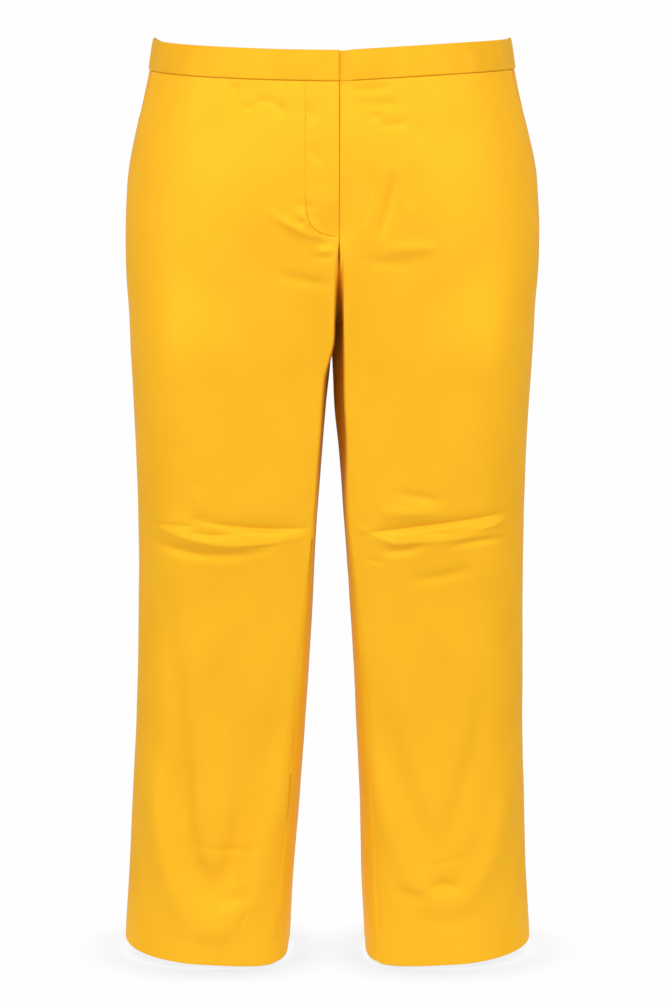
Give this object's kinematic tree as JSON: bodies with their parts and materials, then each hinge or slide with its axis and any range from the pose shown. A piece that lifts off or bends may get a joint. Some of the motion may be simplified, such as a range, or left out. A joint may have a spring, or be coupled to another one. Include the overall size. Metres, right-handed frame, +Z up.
{
  "type": "straight-leg trousers",
  "caption": "Straight-leg satin trousers with a plain waistband, a fly front and slanted side pockets, filled out as if worn and hollow inside.",
  "frame": {"origin": "middle of the waist opening, at the height of the waistband's upper edge at the side seams", "axes": "+Z up towards the wearer's head, the front faces -Y, +X towards the wearer's left"},
  "size_m": [0.4551, 0.2907, 1.0013],
  "materials": {
    "satin": "woven satin with a soft broad sheen",
    "zip_tape": "plain woven tape"
  },
  "bodies": {
    "root": {"front_right": "satin", "front_left": "satin", "back_right": "satin", "back_left": "satin", "pocket_facing_right": "satin", "pocket_facing_left": "satin", "fly_underlap": "satin", "waistband_front_right": "satin", "waistband_front_left": "satin", "waistband_back": "satin", "zip": "zip_tape"}
  },
  "joints": []
}
